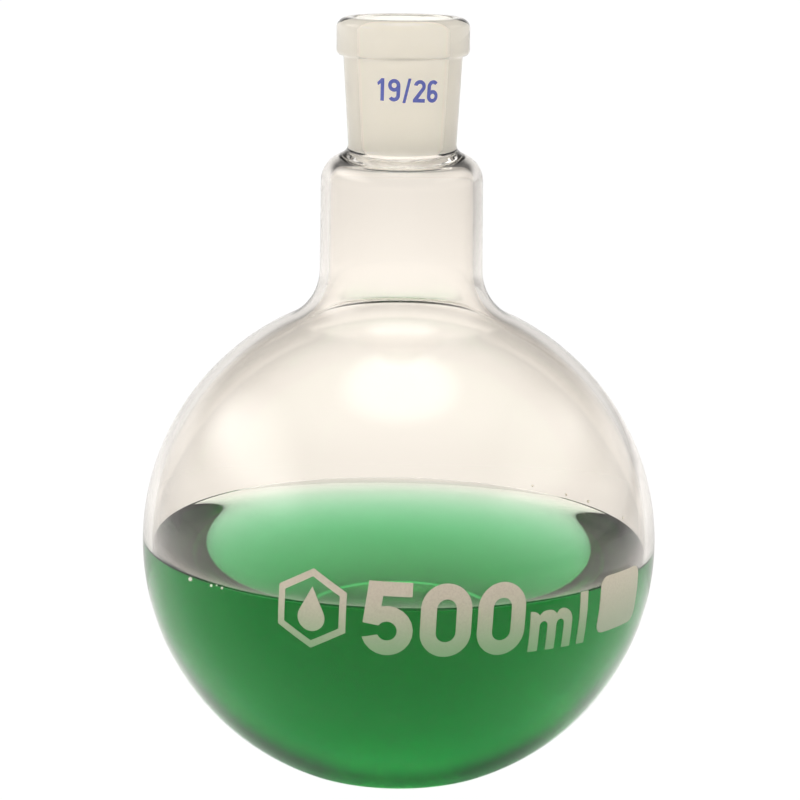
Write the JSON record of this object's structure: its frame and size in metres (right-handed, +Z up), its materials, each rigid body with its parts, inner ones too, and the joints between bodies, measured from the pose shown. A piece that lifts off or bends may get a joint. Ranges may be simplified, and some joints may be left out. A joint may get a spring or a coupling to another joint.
{
  "type": "laboratory flask",
  "caption": "Short-necked round laboratory flask with a ground glass socket, a small flat to stand on, and a green solution filling its lower half.",
  "frame": {"origin": "centre of the small flat under the bulb that the flask stands on", "axes": "+Z up along the flask's axis; the capacity marks face -Y"},
  "size_m": [0.105, 0.1056, 0.1529],
  "materials": {
    "clear_glass": "clear, fire polished",
    "ground_glass": "clear outside, frosted by grinding in the bore",
    "green_solution": "clear liquid, deep green",
    "grey_enamel": "fired enamel, warm light grey, matt",
    "blue_enamel": "fired enamel, blue, satin"
  },
  "bodies": {
    "root": {"flask_body": "clear_glass", "ground_socket": "ground_glass", "green_solution": "green_solution", "capacity_digit_5": "grey_enamel", "capacity_digit_0_first": "grey_enamel", "capacity_digit_0_second": "grey_enamel", "capacity_letter_m": "grey_enamel", "capacity_letter_l": "grey_enamel", "marking_spot": "grey_enamel", "emblem_hexagon": "grey_enamel", "emblem_drop": "grey_enamel", "joint_size_digit_1": "blue_enamel", "joint_size_digit_9": "blue_enamel", "joint_size_slash": "blue_enamel", "joint_size_digit_2": "blue_enamel", "joint_size_digit_6": "blue_enamel"}
  },
  "joints": []
}
